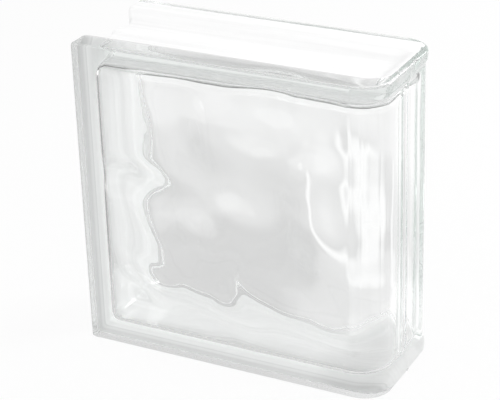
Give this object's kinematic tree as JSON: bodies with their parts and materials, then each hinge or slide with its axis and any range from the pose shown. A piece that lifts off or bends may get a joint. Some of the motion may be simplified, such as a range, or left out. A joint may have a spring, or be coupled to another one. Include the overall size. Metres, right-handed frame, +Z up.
{
  "type": "glass end block",
  "caption": "Square hollow glass block with mortar channels on three edges, a rounded finished end, wavy relief inside the panes and a white bonding coat in the channels.",
  "frame": {"origin": "middle of the underside of the block's box, on the level of the lower flange tips", "axes": "+Z up through the height, +Y through the thickness from the front pane to the back pane, +X towards the finished end"},
  "size_m": [0.19, 0.08, 0.19],
  "materials": {
    "pressed_glass": "clear pressed glass with a faint green edge tint",
    "bonding_coat": "matt white brushed coating with a slight grain"
  },
  "bodies": {
    "root": {"front_half": "pressed_glass", "back_half": "pressed_glass", "joint_coating": "bonding_coat"}
  },
  "joints": []
}
